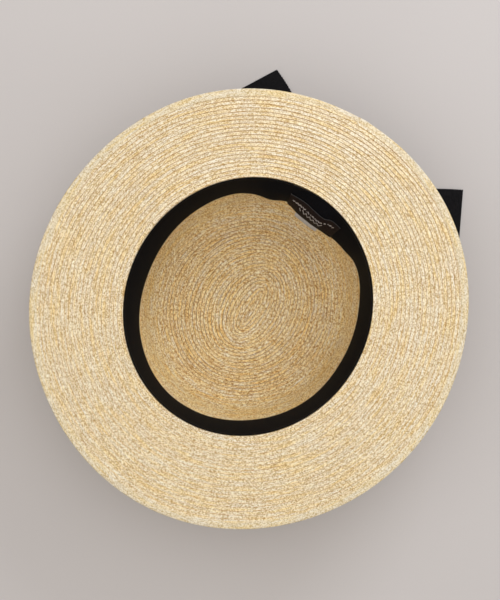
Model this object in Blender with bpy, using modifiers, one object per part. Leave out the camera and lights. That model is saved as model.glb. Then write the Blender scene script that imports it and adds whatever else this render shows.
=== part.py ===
"""Straw boater hat that lies on the flat tip of its crown, with its inside facing up.

Metres, +Z up. The origin is the centre of the crown tip's outer face, which rests on the
ground. The front of the hat points to -Y. The back, with the label inside and the bow
outside, points to +Y. An angle round the hat is counted from +X towards +Y.
"""
import math

import bpy
import numpy as np

MM = 0.001
GAP = 0.3 * MM                          # between pieces that touch

# Straw: wall of braid, and the height from the tip to the face of the brim that shows
STRAW_WALL = 2.0 * MM
HAT_HEIGHT = 85.0 * MM
HEAD_LENGTH = 190.0 * MM                # head opening, front to back
HEAD_WIDTH = 178.2 * MM
HEAD_TURN = math.radians(4.0)           # the head oval stands a little askew to the bow
CROWN_TAPER = 17.5 * MM                 # the side is this much nearer the axis at the tip
CROWN_TAPER_POWER = 1.3                 # 1 is a straight side, more is a rounder one
CROWN_CORNER = 15.0 * MM                # radius between the tip and the side

# Brim: its own oval, set a little to the front and to one side of the head opening
BRIM_LENGTH = 321.8 * MM
BRIM_WIDTH = 314.0 * MM
BRIM_TURN = math.radians(-9.0)
BRIM_SHIFT_SIDE = 1.4 * MM
BRIM_SHIFT_FRONT = 1.2 * MM
BRIM_EDGE_WAVE = 0.3 * MM               # in and out
BRIM_LIFT_WAVE = 0.8 * MM               # up and down
BRIM_WAVES = (
    {"lobes": 3, "peak_deg": 40, "share": 1.0},
    {"lobes": 4, "peak_deg": 42, "share": 0.6},
    {"lobes": 5, "peak_deg": 61, "share": 1.0},
)

# Sweatband: sewn in at the head line, its deep edge free
SWEATBAND_WALL = 1.0 * MM
SWEATBAND_DEPTH = 26.0 * MM
SWEATBAND_SEAM = 0.12                   # share of the depth that is held by the seam
SWEATBAND_STAND_OFF = 11.0 * MM         # widest gap between its free edge and the straw
SWEATBAND_WAVES = (
    {"angle_deg": 3, "share": 0.33},
    {"angle_deg": 33, "share": 0.31},
    {"angle_deg": 48, "share": 0.16},
    {"angle_deg": 63, "share": 0.46},
    {"angle_deg": 78, "share": 0.95},
    {"angle_deg": 93, "share": 1.00},
    {"angle_deg": 108, "share": 0.63},
    {"angle_deg": 128, "share": 0.35},
    {"angle_deg": 153, "share": 0.37},
    {"angle_deg": 183, "share": 0.45},
    {"angle_deg": 213, "share": 0.35},
    {"angle_deg": 243, "share": 0.22},
    {"angle_deg": 261, "share": 0.11},
    {"angle_deg": 288, "share": 0.34},
    {"angle_deg": 318, "share": 0.31},
    {"angle_deg": 338, "share": 0.26},
)

# Labels inside the back, as angles round the hat and shares of the sweatband's depth
LABEL_WALL = 1.0 * MM
LABEL_ANGLE = math.radians(88.0)
LABEL_LENGTH = 43.0 * MM
LABEL_TOP_SHARE = 0.36
LABEL_BOTTOM_SHARE = 0.97
CARE_ANGLE = math.radians(89.0)
CARE_LENGTH = 20.0 * MM
CARE_HIDDEN = 9.0 * MM                  # height behind the sweatband
CARE_DROP = 9.0 * MM                    # height below the sweatband's free edge
CARE_PEEK = 2.2 * MM                    # how far it swings in past the back label
CARE_BEND = (                           # its course below the free edge
    {"drop": 1.00, "swing": 1.00},
    {"drop": 0.60, "swing": 0.85},
    {"drop": 0.12, "swing": 0.00},
    {"drop": 0.00, "swing": 0.00},
)

# Grosgrain ribbon: round the crown, and made up as a bow at the back
RIBBON_WIDTH = 38.0 * MM
RIBBON_WALL = 1.2 * MM
RIBBON_BRIM_GAP = 0.5 * MM
KNOT_HEIGHT = 30.0 * MM
KNOT_WIDTH = 17.0 * MM
KNOT_DEPTH = 10.0 * MM
KNOT_ROUNDNESS = 6                      # power of the rounded rectangle it is wrapped in
LOOP_LENGTH = 52.0 * MM
LOOP_PUFF = 15.0 * MM                   # thickness of a loop where it is fullest
LOOP_PINCH_SHARE = 0.72                 # share of the knot's inner height that a loop fills
LOOP_ROUND_SHARE = 0.6                  # share of its length where it starts to round off
LOOP_FORWARD_SHARE = 0.8                # 1 leaves its back layer flat, 0 puffs both layers

# Ribbon tails: they hang from behind the knot and lie down on the ground
TAIL_TUCK = 8.0 * MM                    # height of a tail that is hidden behind the knot
TAIL_PINCH = 13.0 * MM                  # width of a tail behind the knot
TAIL_FALL = math.radians(66.0)          # slope at which it leaves the knot
TAIL_LIE = 55.0 * MM                    # pull of the straight end on the curve
TAIL_GROUND_GAP = 0.5 * MM
TAIL_LEFT_SPREAD = 90.9 * MM            # from the hat's middle to the end of the tail, to the side
TAIL_LEFT_REACH = 149.7 * MM            # and to the back
TAIL_RIGHT_SPREAD = 100.2 * MM
TAIL_RIGHT_REACH = 150.4 * MM
TAILS = (
    {"name": "ribbon_tail_left", "side": -1, "spread": TAIL_LEFT_SPREAD, "reach": TAIL_LEFT_REACH,
     "turn_deg": 22.0},
    {"name": "ribbon_tail_right", "side": 1, "spread": TAIL_RIGHT_SPREAD, "reach": TAIL_RIGHT_REACH,
     "turn_deg": 28.5},
)
TAIL_COURSE = (                         # width from pinched to full, and lie from upright to flat
    {"along": 0.00, "width": 0.00, "lie": 0.00},
    {"along": 0.15, "width": 0.12, "lie": 0.05},
    {"along": 0.30, "width": 0.60, "lie": 0.28},
    {"along": 0.45, "width": 1.00, "lie": 0.62},
    {"along": 0.60, "width": 1.00, "lie": 0.90},
    {"along": 0.75, "width": 1.00, "lie": 1.00},
    {"along": 1.00, "width": 1.00, "lie": 1.00},
)

# Facets, and the shares at which rows of them lie
ROUND_FACETS = 64
SWEATBAND_FACETS = 96
KNOT_FACETS = 24
TAIL_FACETS = 16
TIP_SHARES = (0.5, 1.0)
CORNER_FACETS = 4
SIDE_FACETS = 6
BRIM_SHARES = (0.0, 0.25, 0.5, 0.75, 1.0)
SWEATBAND_SHARES = (1.0, 0.7, 0.4, SWEATBAND_SEAM, 0.0)
LABEL_FACETS = (14, 4)
CARE_FACETS = 6
LOOP_PARTING_SHARES = (0.25, 0.5, 0.75, 1.0)
LOOP_CLOSING_TURNS = np.radians((30, 50, 68, 81, 90))
WIDTH_SHARES = (-1.0, -0.5, 0.0, 0.5, 1.0)
SMOOTH_ANGLE = math.radians(40.0)

SIDE_TOP = HAT_HEIGHT - STRAW_WALL - GAP        # the crown's wall ends just under the brim
BOW_HEIGHT = HAT_HEIGHT - STRAW_WALL - RIBBON_BRIM_GAP - RIBBON_WIDTH / 2

for old in list(bpy.data.objects):
    bpy.data.objects.remove(old, do_unlink=True)
hat = bpy.data.collections.new("boater_hat")
bpy.context.scene.collection.children.link(hat)


def round_angles(count):
    """Angles of a closed ring, evenly spaced."""
    return np.linspace(0.0, 2.0 * math.pi, count, endpoint=False)


def oval(length, width, turn, angles):
    """Radius of an ellipse at each angle: its length lies along Y, turned by turn."""
    half_length, half_width = length / 2, width / 2
    across = half_length * np.cos(angles - turn)
    along = half_width * np.sin(angles - turn)
    return half_length * half_width / np.hypot(across, along)


def round_table(rows, angles):
    """Share at each angle, on a smooth closed curve through a table's rows."""
    knots = np.radians([row["angle_deg"] for row in rows])
    shares = np.array([row["share"] for row in rows])
    full_turn = 2.0 * math.pi
    gaps = np.mod(np.roll(knots, -1) - knots, full_turn)
    slopes = (np.roll(shares, -1) - np.roll(shares, 1)) / (gaps + np.roll(gaps, 1))
    start = np.mod(angles - knots[0], full_turn)
    first = np.searchsorted(knots - knots[0], start, side="right") - 1
    after = np.mod(first + 1, len(knots))
    t = (start - (knots[first] - knots[0])) / gaps[first]
    rise = slopes[first] * gaps[first] * (t - 1) ** 2 * t + slopes[after] * gaps[first] * (t - 1) * t ** 2
    return shares[first] * (1 + 2 * t) * (1 - t) ** 2 + shares[after] * t ** 2 * (3 - 2 * t) + rise


def head_radius(angles):
    return oval(HEAD_LENGTH, HEAD_WIDTH, HEAD_TURN, angles)


def side_inset(height):
    """How much nearer the axis the crown's wall is at a height than at the head line."""
    lean = CROWN_TAPER * np.clip(1 - height / SIDE_TOP, 0, 1) ** CROWN_TAPER_POWER
    into_corner = np.clip(CROWN_CORNER - height, 0, CROWN_CORNER)
    return lean + CROWN_CORNER - np.sqrt(CROWN_CORNER ** 2 - into_corner ** 2)


def at(radius, angles, height):
    """Points at a radius, an angle and a height, as an array that ends in x, y, z."""
    radius, angles, height = np.broadcast_arrays(radius, angles, height)
    return np.stack((radius * np.cos(angles), radius * np.sin(angles), height), axis=-1)


def moved_along_normals(points, distance):
    """A grid of points moved along its surface's normals."""
    normals = np.cross(np.gradient(points, axis=1), np.gradient(points, axis=0))
    return points + distance * normals / np.linalg.norm(normals, axis=-1, keepdims=True)


def paint(name, colour, roughness):
    material = bpy.data.materials.new(name)
    material.use_nodes = True
    shader = material.node_tree.nodes["Principled BSDF"]
    shader.inputs["Base Color"].default_value = (*colour, 1.0)
    shader.inputs["Roughness"].default_value = roughness
    shader.inputs["Metallic"].default_value = 0.0
    return material


def walled(name, points, wall, material, ring=False, capped=False):
    """A grid of points made a sheet, with its wall built up on the side its normals leave.

    The grid's normals point along (next column) x (next row). A ring joins the last
    column to the first, and a cap closes the first row.
    """
    rows, columns = points.shape[:2]
    last = columns if ring else columns - 1
    faces = [
        (row * columns + column, row * columns + (column + 1) % columns,
         (row + 1) * columns + (column + 1) % columns, (row + 1) * columns + column)
        for row in range(rows - 1) for column in range(last)
    ]
    if capped:
        faces.append(tuple(reversed(range(columns))))
    mesh = bpy.data.meshes.new(name)
    mesh.from_pydata(points.reshape(-1, 3).tolist(), [], faces)
    mesh.materials.append(material)
    mesh.shade_smooth()
    mesh.set_sharp_from_angle(angle=SMOOTH_ANGLE)
    piece = bpy.data.objects.new(name, mesh)
    hat.objects.link(piece)
    solidify = piece.modifiers.new("wall", "SOLIDIFY")
    solidify.thickness = wall
    solidify.offset = -1
    solidify.use_even_offset = True
    return piece


def make_crown(material):
    """Tip, corner and side as one wall, lofted through ovals from the tip's middle up.

    The last two ovals stand straight above each other, so the wall ends square.
    """
    angles = round_angles(ROUND_FACETS)
    outer = head_radius(angles) + STRAW_WALL
    tip = [at(share * (outer - side_inset(0.0)), angles, 0.0) for share in TIP_SHARES]
    corner_turns = np.linspace(0.0, math.pi / 2, CORNER_FACETS + 1)[1:]
    heights = np.concatenate((
        CROWN_CORNER * (1 - np.cos(corner_turns)),
        np.linspace(CROWN_CORNER, SIDE_TOP, SIDE_FACETS + 1)[1:-1],
        (SIDE_TOP - STRAW_WALL, SIDE_TOP),
    ))
    insets = side_inset(heights)
    insets[-2:] = 0.0
    side = [at(outer - inset, angles, height) for inset, height in zip(insets, heights)]
    walled("crown", np.array(tip + side), STRAW_WALL, material, ring=True, capped=True)


def make_brim(material):
    """Flat ring of straw from the head line to the wavy edge; the sheet is its lower face."""
    angles = round_angles(ROUND_FACETS)
    shares = np.array(BRIM_SHARES)[:, None]
    wave = sum(w["share"] * np.cos(w["lobes"] * (angles - math.radians(w["peak_deg"]))) for w in BRIM_WAVES)
    edge = at(oval(BRIM_LENGTH, BRIM_WIDTH, BRIM_TURN, angles) + BRIM_EDGE_WAVE * wave, angles, 0.0)
    edge += (BRIM_SHIFT_SIDE, -BRIM_SHIFT_FRONT, 0.0)
    inner = at(head_radius(angles), angles, 0.0)
    points = inner + shares[..., None] * (edge - inner)
    points[..., 2] = HAT_HEIGHT - STRAW_WALL + BRIM_LIFT_WAVE * wave * shares ** 2
    walled("brim", points, STRAW_WALL, material, ring=True)


def sweatband_sheet(angles, depth_shares):
    """The sweatband's face towards the straw, in rows from the deepest share up."""
    shares = np.array(depth_shares)[:, None]
    heights = HAT_HEIGHT - SWEATBAND_DEPTH * shares
    loose = np.clip((shares - SWEATBAND_SEAM) / (1 - SWEATBAND_SEAM), 0, None)
    stand_off = SWEATBAND_STAND_OFF * round_table(SWEATBAND_WAVES, angles) * loose
    return at(head_radius(angles) - side_inset(heights) - GAP - stand_off, angles, heights)


def make_sweatband(material):
    points = sweatband_sheet(round_angles(SWEATBAND_FACETS), SWEATBAND_SHARES)
    walled("sweatband", points, SWEATBAND_WALL, material, ring=True)


def label_angles(middle, length, facets):
    """Angles of the columns of a label of this length, seen from the axis of the hat."""
    half = length / 2 / head_radius(np.array(middle))
    return np.linspace(middle - half, middle + half, facets + 1)


def make_back_label(material):
    """Woven label on the sweatband's inner face, which it follows."""
    angles = label_angles(LABEL_ANGLE, LABEL_LENGTH, LABEL_FACETS[0])
    shares = np.linspace(LABEL_BOTTOM_SHARE, LABEL_TOP_SHARE, LABEL_FACETS[1] + 1)
    face = moved_along_normals(sweatband_sheet(angles, shares), -SWEATBAND_WALL - GAP)
    walled("back_label", face, LABEL_WALL, material)


def make_care_label(material):
    """Strip that hangs behind the sweatband and swings in under its free edge."""
    angles = label_angles(CARE_ANGLE, CARE_LENGTH, CARE_FACETS)
    band = sweatband_sheet(angles, (1.0, 1 - CARE_HIDDEN / SWEATBAND_DEPTH))
    band_radius = np.hypot(band[0, :, 0], band[0, :, 1])
    behind = moved_along_normals(band, GAP + LABEL_WALL)
    radii = np.hypot(behind[..., 0], behind[..., 1])
    swing = radii[0] - (band_radius - SWEATBAND_WALL - GAP - CARE_PEEK)
    rows = [at(radii[0] - bend["swing"] * swing, angles, behind[0, :, 2] - bend["drop"] * CARE_DROP)
            for bend in CARE_BEND]
    rows.append(at(radii[1], angles, behind[1, :, 2]))
    walled("care_label", np.array(rows), LABEL_WALL, material)


def ribbon_face(angles, heights):
    """Radius of the outer face of the ribbon that lies round the crown."""
    return head_radius(angles) + STRAW_WALL - side_inset(heights) + GAP + RIBBON_WALL


def make_hat_ribbon(material):
    angles = round_angles(ROUND_FACETS)
    heights = (BOW_HEIGHT + RIBBON_WIDTH / 2 * np.array(WIDTH_SHARES[::2]))[:, None]
    points = at(ribbon_face(angles, heights), angles, heights)
    walled("hat_ribbon", points, RIBBON_WALL, material, ring=True)


def tail_start_height():
    return BOW_HEIGHT - KNOT_HEIGHT / 2 + TAIL_TUCK


def bow_back():
    """Y of the knot's back, which meets the slanting ribbon at its top.

    The tails fit between the two lower down.
    """
    back = np.array(math.pi / 2)
    at_top = ribbon_face(back, BOW_HEIGHT + KNOT_HEIGHT / 2) + GAP
    at_tails = ribbon_face(back, tail_start_height() + TAIL_PINCH / 2) + RIBBON_WALL + 2 * GAP
    return float(max(at_top, at_tails))


def make_bow_knot(material):
    """Ribbon wrapped round the loops: a rounded rectangle carried along X."""
    turns = round_angles(KNOT_FACETS)
    power = 2 / KNOT_ROUNDNESS
    depth = np.sign(np.cos(turns)) * np.abs(np.cos(turns)) ** power * KNOT_DEPTH / 2
    rise = np.sign(np.sin(turns)) * np.abs(np.sin(turns)) ** power * KNOT_HEIGHT / 2
    rows = []
    for share in WIDTH_SHARES[::2]:
        across = np.full_like(turns, share * KNOT_WIDTH / 2)
        rows.append(np.stack((across, bow_back() + KNOT_DEPTH / 2 + depth, BOW_HEIGHT + rise), axis=-1))
    walled("bow_knot", np.array(rows), RIBBON_WALL, material, ring=True)


def make_bow_loop(name, side, material):
    """Ribbon folded back on itself: out of the knot, round the loop's end and back in.

    Past the knot the two layers part along a quarter sine and close in a quarter ellipse.
    """
    inside = np.array((GAP, KNOT_WIDTH / 4, KNOT_WIDTH / 2))
    parting = LOOP_ROUND_SHARE * np.array(LOOP_PARTING_SHARES)
    closing = LOOP_ROUND_SHARE + (1 - LOOP_ROUND_SHARE) * np.sin(LOOP_CLOSING_TURNS)
    beyond = np.concatenate((np.zeros_like(inside), parting, closing))
    outside = KNOT_WIDTH / 2 + np.concatenate((parting, closing)) * (LOOP_LENGTH - KNOT_WIDTH / 2)
    reach = np.concatenate((inside, outside))
    opened = np.sin(np.clip(beyond / LOOP_ROUND_SHARE, 0, 1) * math.pi / 2)
    closed = np.clip((beyond - LOOP_ROUND_SHARE) / (1 - LOOP_ROUND_SHARE), 0, 1)
    pinched = KNOT_DEPTH / 2 - RIBBON_WALL - GAP
    puff = pinched + (LOOP_PUFF / 2 - pinched) * opened
    half_depth = puff * np.sqrt(1 - closed ** 2)
    forward = bow_back() + KNOT_DEPTH / 2 + LOOP_FORWARD_SHARE * (puff - pinched)
    pinch = LOOP_PINCH_SHARE * (KNOT_HEIGHT - 2 * RIBBON_WALL)
    half_width = (pinch + (RIBBON_WIDTH - pinch) * opened) / 2
    across = side * np.concatenate((reach, reach[-2::-1]))
    depth = np.concatenate((forward - half_depth, (forward + half_depth)[-2::-1]))
    width = np.concatenate((half_width, half_width[-2::-1]))
    points = np.array([np.stack((across, depth, BOW_HEIGHT + share * width), axis=-1)
                       for share in WIDTH_SHARES])
    if side < 0:
        points = points[:, ::-1]
    walled(name, points, RIBBON_WALL, material)


def tail_column(along, column):
    """A column of the tails' table at the given shares of a tail's length."""
    return np.interp(along, [row["along"] for row in TAIL_COURSE], [row[column] for row in TAIL_COURSE])


def tail_middle(along, spread, reach, turn):
    """Middle line of a tail: a curve of the fourth degree that five points pull.

    Three points lie on the slope from the knot to the ground, two on the straight end.
    """
    start = np.array((GAP + TAIL_PINCH / 2, bow_back() - GAP - RIBBON_WALL, tail_start_height()))
    end = np.array((spread, reach, TAIL_GROUND_GAP))
    fall = (start[2] - end[2]) * np.array((1 / math.tan(TAIL_FALL), 0.0, -1.0))
    lie = TAIL_LIE * np.array((math.cos(turn), math.sin(turn), 0.0))
    pulls = (start, start + fall / 2, start + fall, end - lie, end)
    t = along[:, None]
    return sum(math.comb(4, power) * (1 - t) ** (4 - power) * t ** power * pull
               for power, pull in enumerate(pulls))


def make_ribbon_tail(name, side, spread, reach, turn_deg, material):
    """Ribbon along a tail's middle line, upright at the knot and turned flat on the ground."""
    along = np.linspace(0.0, 1.0, TAIL_FACETS + 1)
    middle = tail_middle(along, spread, reach, math.radians(turn_deg))
    heading = np.gradient(middle, axis=0)
    lying = (tail_column(along, "lie") * math.pi / 2)[:, None]
    width_way = np.cos(lying) * np.cross(heading, (0, 1, 0)) + np.sin(lying) * np.cross(heading, (0, 0, 1))
    width_way /= np.linalg.norm(width_way, axis=1, keepdims=True)
    half_width = (TAIL_PINCH + (RIBBON_WIDTH - TAIL_PINCH) * tail_column(along, "width")) / 2
    points = np.array([middle + share * half_width[:, None] * width_way for share in WIDTH_SHARES])
    points[..., 0] *= side
    if side < 0:
        points = points[:, ::-1]
    walled(name, points, RIBBON_WALL, material)


straw = paint("wheat_straw_braid", (0.74, 0.60, 0.36), 0.55)
satin = paint("black_satin_ribbon", (0.006, 0.006, 0.007), 0.45)
woven = paint("black_brown_label_weave", (0.012, 0.009, 0.008), 0.7)
white = paint("white_label_weave", (0.78, 0.77, 0.75), 0.7)
grosgrain = paint("black_grosgrain_ribbon", (0.008, 0.008, 0.009), 0.6)

make_crown(straw)
make_brim(straw)
make_sweatband(satin)
make_back_label(woven)
make_care_label(white)
make_hat_ribbon(grosgrain)
make_bow_knot(grosgrain)
make_bow_loop("bow_loop_left", -1, grosgrain)
make_bow_loop("bow_loop_right", 1, grosgrain)
for tail in TAILS:
    make_ribbon_tail(tail["name"], tail["side"], tail["spread"], tail["reach"], tail["turn_deg"], grosgrain)
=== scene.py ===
"""Looks of a straw boater hat that lies upside down on the flat tip of its crown.

Metres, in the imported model's frame: +Z up, the front of the hat to -Y, and its back, with
the label inside and the bow outside, to +Y. An angle round the hat is counted from +X
towards +Y. The straw is flat braid, wound in rows from the middle of the tip to the edge of
the brim. Every surface is a grid whose normals point along (next row) x (next column).
"""
import math

import bmesh
import bpy
import numpy as np
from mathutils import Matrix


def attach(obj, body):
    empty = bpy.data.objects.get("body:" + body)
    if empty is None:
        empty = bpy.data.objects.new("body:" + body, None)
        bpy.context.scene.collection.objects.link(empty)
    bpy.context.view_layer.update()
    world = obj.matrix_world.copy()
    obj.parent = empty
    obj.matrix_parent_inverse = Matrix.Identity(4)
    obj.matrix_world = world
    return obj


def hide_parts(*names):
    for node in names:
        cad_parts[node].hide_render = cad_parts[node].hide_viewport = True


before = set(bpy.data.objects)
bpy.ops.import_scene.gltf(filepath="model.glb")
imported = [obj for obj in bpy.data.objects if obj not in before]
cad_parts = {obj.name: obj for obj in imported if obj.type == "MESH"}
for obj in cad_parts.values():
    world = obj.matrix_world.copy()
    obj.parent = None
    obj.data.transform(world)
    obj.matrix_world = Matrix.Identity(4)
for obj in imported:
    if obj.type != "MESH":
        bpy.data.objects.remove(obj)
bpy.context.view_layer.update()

MM = 0.001
GAP = 0.3 * MM                          # between pieces that touch
WELD = 0.001 * MM                       # points nearer than this are one
SHARP_ANGLE = math.radians(40.0)

# Straw: the same walls and ovals as the solids that these pieces stand for
STRAW_WALL = 2.0 * MM
HAT_HEIGHT = 85.0 * MM
HEAD_LENGTH = 190.0 * MM                # head opening, front to back
HEAD_WIDTH = 178.2 * MM
HEAD_TURN = math.radians(4.0)
CROWN_TAPER = 17.5 * MM
CROWN_TAPER_POWER = 1.3
CROWN_CORNER = 15.0 * MM
BRIM_LENGTH = 321.8 * MM
BRIM_WIDTH = 314.0 * MM
BRIM_TURN = math.radians(-9.0)
BRIM_SHIFT_SIDE = 1.4 * MM
BRIM_SHIFT_FRONT = 1.2 * MM
BRIM_EDGE_WAVE = 0.3 * MM
BRIM_LIFT_WAVE = 0.8 * MM
BRIM_WAVES = (
    {"lobes": 3, "peak_deg": 40, "share": 1.0},
    {"lobes": 4, "peak_deg": 42, "share": 0.6},
    {"lobes": 5, "peak_deg": 61, "share": 1.0},
)
SIDE_TOP = HAT_HEIGHT - STRAW_WALL - GAP
CROWN_PROFILE = 60                      # points up its corner, and again up its side

# Braid: each row lies on the one before, and leans so that its first edge stands proud inside
BRAID_WALL = 1.5 * MM
TIP_RISE = 0.25 * MM                    # keeps the rows that stand proud outside off the ground
ROW_STEP = 0.44 * MM
ROW_LINES = (                           # points across a row, and how proud they stand
    {"across": 0.00, "lift": -0.50},
    {"across": 0.05, "lift": 0.50},
    {"across": 0.35, "lift": 0.22},
    {"across": 0.70, "lift": -0.16},
)
ROW_LOOSE = 0.30                        # share that a row stands prouder at the back of the hat
ROW_LOOSE_AT = math.radians(116.0)
ROW_STRAYS = {"share": 0.12, "waves": 14, "seed": 3}        # of a row's width, at its edge
ROW_RISES = {"share": 0.3, "waves": 9, "seed": 5}           # of how proud a row stands
STRAY_PACE = (1.0, 24.0)                # waves in one turn round the hat
TIP_ROWS = 20
SIDE_ROWS = 32
BRIM_ROWS = 22
CROWN_FIRST_ROW = 0                     # the rows' numbers tell the material where it is
BRIM_FIRST_ROW = 100
CROWN_COLUMNS = 232
BRIM_COLUMNS = 480
START_HALF = 13.3 * MM                  # half of the straight length that the braid starts with
START_TURN = math.radians(92.8)
START_MIDDLE = (3.5 * MM, 0.2 * MM, 0.0)
EDGE_WIDTH = 5.8 * MM                   # the last row of the brim shows its whole width
EDGE_WALL = 1.4 * MM
EDGE_COVERED = 2.9 * MM                 # width of it that lies on the row before
EDGE_STITCH = 1.5 * MM                  # one straw's turn at the edge of the braid
EDGE_SCALLOP = 0.16 * MM
EDGE_LAP = 0.5 * MM                     # how far its end, laid over its start, stands out
EDGE_LAP_AT = math.radians(91.0)
EDGE_LAP_EASE = math.radians(2.2)
EDGE_ROW = {"number": 200.06, "share": 0.8}     # keeps the material's lines between rows off it
EDGE_LEAN = {"share": 0.6, "level_at": 0.5}     # of a row's step, and where on the section it is 0
EDGE_RIM_FROM = 0.5                     # how far out on the section its scallops begin
EDGE_SIDE_POWER = 0.5
EDGE_RISE_POWER = 0.8
EDGE_COLUMNS = 2000
EDGE_SECTION = 20

# Sweatband
SWEATBAND_WALL = 1.0 * MM
SWEATBAND_DEPTH = 26.0 * MM
SWEATBAND_SEAM = 0.12
SWEATBAND_STAND_OFF = 11.0 * MM
SWEATBAND_WAVES = (                     # how far its free edge stands off the straw
    {"angle_deg": 3, "share": 0.41},
    {"angle_deg": 33, "share": 0.34},
    {"angle_deg": 48, "share": 0.22},
    {"angle_deg": 56, "share": 0.29},
    {"angle_deg": 63, "share": 0.59},
    {"angle_deg": 70, "share": 0.79},
    {"angle_deg": 77, "share": 1.03},
    {"angle_deg": 86, "share": 1.20},
    {"angle_deg": 95, "share": 1.06},
    {"angle_deg": 102, "share": 0.71},
    {"angle_deg": 111, "share": 0.84},
    {"angle_deg": 120, "share": 0.56},
    {"angle_deg": 130, "share": 0.41},
    {"angle_deg": 153, "share": 0.51},
    {"angle_deg": 183, "share": 0.64},
    {"angle_deg": 198, "share": 0.63},
    {"angle_deg": 228, "share": 0.43},
    {"angle_deg": 258, "share": 0.27},
    {"angle_deg": 278, "share": 0.33},
    {"angle_deg": 303, "share": 0.43},
    {"angle_deg": 338, "share": 0.35},
)
SWEATBAND_ROUNDNESS = (                 # how soon it leaves the straw: 1 is a straight slope
    {"angle_deg": 60, "share": 1.5},
    {"angle_deg": 74, "share": 1.4},
    {"angle_deg": 79, "share": 1.7},
    {"angle_deg": 82, "share": 2.9},
    {"angle_deg": 88, "share": 2.7},
    {"angle_deg": 95, "share": 2.0},
    {"angle_deg": 101, "share": 2.3},
    {"angle_deg": 112, "share": 1.6},
    {"angle_deg": 180, "share": 1.5},
    {"angle_deg": 300, "share": 1.5},
)
SWEATBAND_LAP = 0.6 * MM                # its end lies on its start, at the back
SWEATBAND_LAP_AT = math.radians(102.0)
SWEATBAND_LAP_EASE = math.radians(14.0)
SWEATBAND_RIBBON = 0.7 * MM             # thickness of the ribbon itself
SWEATBAND_COLUMNS = 720
SWEATBAND_ROWS = 25

# Labels
LABEL_ANGLE = math.radians(87.6)
LABEL_LENGTH = 43.0 * MM
LABEL_TOP_SHARE = 0.36
LABEL_BOTTOM_SHARE = 0.97
LABEL_WALL = 1.0 * MM
LABEL_CLOTH = 0.5 * MM
LABEL_COLUMNS = 90
LABEL_ROWS = 25
LABEL_FOLD_AT = 18.0 * MM               # across the label, where its pale folded edge begins
LABEL_FOLD_EASE = 0.2 * MM
LABEL_MARKS = (                         # a row of dashes and a zigzag, with gaps where noise is low
    {"across": 12.4 * MM, "swing": 2.6 * MM, "pitch": 2.4 * MM, "thick": 1.1 * MM,
     "middle": 21.5 * MM, "half": 18.0 * MM, "sparse": 0.46},
    {"across": 8.6 * MM, "swing": 5.6 * MM, "pitch": 3.4 * MM, "thick": 1.1 * MM,
     "middle": 21.8 * MM, "half": 10.3 * MM, "sparse": 0.40},
)
MARK_GAPS = 1.3                         # steps of the noise for each mark
MARK_ROWS_APART = 900.0                 # steps of the noise for a metre, so each row has its own gaps
CARE_ANGLE = math.radians(88.6)
CARE_LENGTH = 20.0 * MM
CARE_HIDDEN = 9.0 * MM
CARE_DROP = 9.0 * MM
CARE_PEEK = 1.5 * MM
CARE_COLUMNS = 30
CARE_FREE_ROWS = 13
CARE_HIDDEN_ROWS = 5
CARE_BEND = (                           # its free part: share of the drop, share of the swing
    {"drop": 1.00, "swing": 1.00},
    {"drop": 0.60, "swing": 0.85},
    {"drop": 0.12, "swing": 0.00},
    {"drop": 0.00, "swing": 0.00},
)

# Grosgrain ribbon and bow
RIBBON_WIDTH = 38.0 * MM
RIBBON_WALL = 1.2 * MM
RIBBON_CLOTH = 0.8 * MM
RIBBON_BRIM_GAP = 0.5 * MM
RIBBON_COLUMNS = 900
RIBBON_ROWS = 13
KNOT_HEIGHT = 30.0 * MM
KNOT_WIDTH = 17.0 * MM
KNOT_DEPTH = 10.0 * MM
KNOT_ROUNDNESS = 6
KNOT_FOLD = 0.5 * MM
KNOT_FOLDS = 3
KNOT_COLUMNS = 120
KNOT_ROWS = 29
LOOP_LENGTH = 52.0 * MM
LOOP_PUFF = 15.0 * MM
LOOP_PINCH_SHARE = 0.72
LOOP_ROUND_SHARE = 0.6
LOOP_FORWARD_SHARE = 0.8
LOOP_FOLD = 1.3 * MM
LOOP_FOLDS = 3.5
LOOP_FOLD_START = 0.4                   # share of their depth that the gathers have at the knot
LOOP_FOLD_GAIN = 4.0                    # how fast they reach the rest as the loop opens
LOOP_STEPS = {"inside": 6, "parting": 25, "closing": 24}
LOOP_CLOSING_START = 0.06               # radians of its quarter ellipse
LOOP_ROWS = 33
TAIL_TUCK = 8.0 * MM
TAIL_PINCH = 13.0 * MM
TAIL_FALL = math.radians(66.0)
TAIL_LIE = 55.0 * MM
TAIL_GROUND_GAP = 0.5 * MM
TAILS = (                               # the middle of a tail's end, which way it points, its cut
    {"side": -1, "length": 130.0 * MM, "spread": 90.9 * MM, "reach": 150.0 * MM,
     "turn_deg": 18.0, "slant": 0.19},
    {"side": 1, "length": 136.0 * MM, "spread": 100.2 * MM, "reach": 150.7 * MM,
     "turn_deg": 28.5, "slant": 0.00},
)
TAIL_SLANT_POWER = 3
TAIL_SELVAGE = 1.9 * MM                 # one turn of the weft at the edge of the ribbon
TAIL_SCALLOP = 0.55 * MM
TAIL_COURSE = (                         # its width, from pinched to full, and from upright to flat
    {"along": 0.00, "width": 0.00, "lie": 0.00},
    {"along": 0.15, "width": 0.12, "lie": 0.05},
    {"along": 0.30, "width": 0.60, "lie": 0.28},
    {"along": 0.45, "width": 1.00, "lie": 0.62},
    {"along": 0.60, "width": 1.00, "lie": 0.90},
    {"along": 0.75, "width": 1.00, "lie": 1.00},
    {"along": 1.00, "width": 1.00, "lie": 1.00},
)
TAIL_COURSE_POINTS = 241
TAIL_COURSE_WINDOW = 25                 # of those points, over which the course is rounded off
TAIL_COLUMNS = 361
TAIL_ROWS = 25
BOW_HEIGHT = HAT_HEIGHT - STRAW_WALL - RIBBON_BRIM_GAP - RIBBON_WIDTH / 2

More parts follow.
